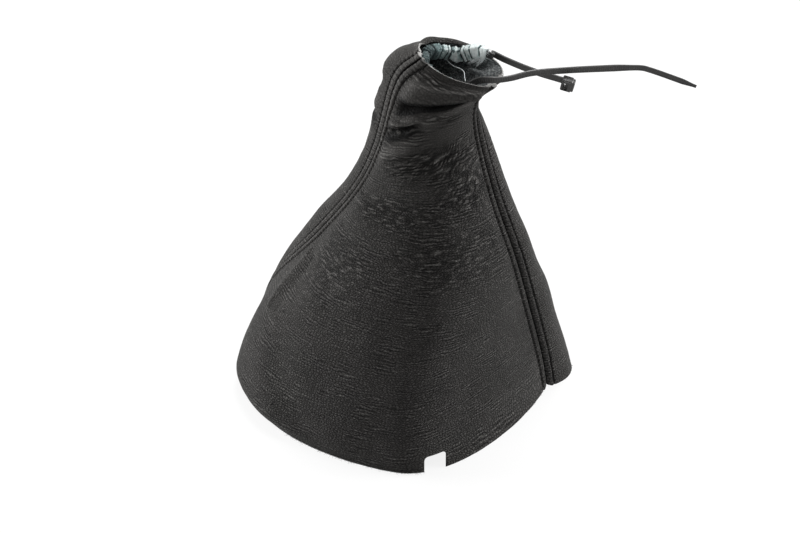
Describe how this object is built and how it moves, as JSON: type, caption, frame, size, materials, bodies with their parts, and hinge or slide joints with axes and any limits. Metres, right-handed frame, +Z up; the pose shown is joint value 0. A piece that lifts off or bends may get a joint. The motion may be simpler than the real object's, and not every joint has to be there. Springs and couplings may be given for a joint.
{
  "type": "gear lever gaiter",
  "caption": "Flared leather gaiter that covers the foot of a gear lever, with a gathered neck and a cable tie threaded through its casing.",
  "frame": {"origin": "centre of the bottom of the part's bounding box, in the plane of the hem", "axes": "+Z up from the hem towards the neck, -Y the front with the cut hem notch, +X the side towards which the neck leans and the tie points"},
  "size_m": [0.2472, 0.1722, 0.2099],
  "materials": {
    "leather": "matt charcoal grain, suede flesh side",
    "casing_cloth": "thin woven cloth, gathered and frayed",
    "nylon": "satin moulded nylon"
  },
  "bodies": {
    "root": {"front_panel": "leather", "back_panel": "leather", "tie_casing": "casing_cloth", "cable_tie": "nylon"}
  },
  "joints": []
}
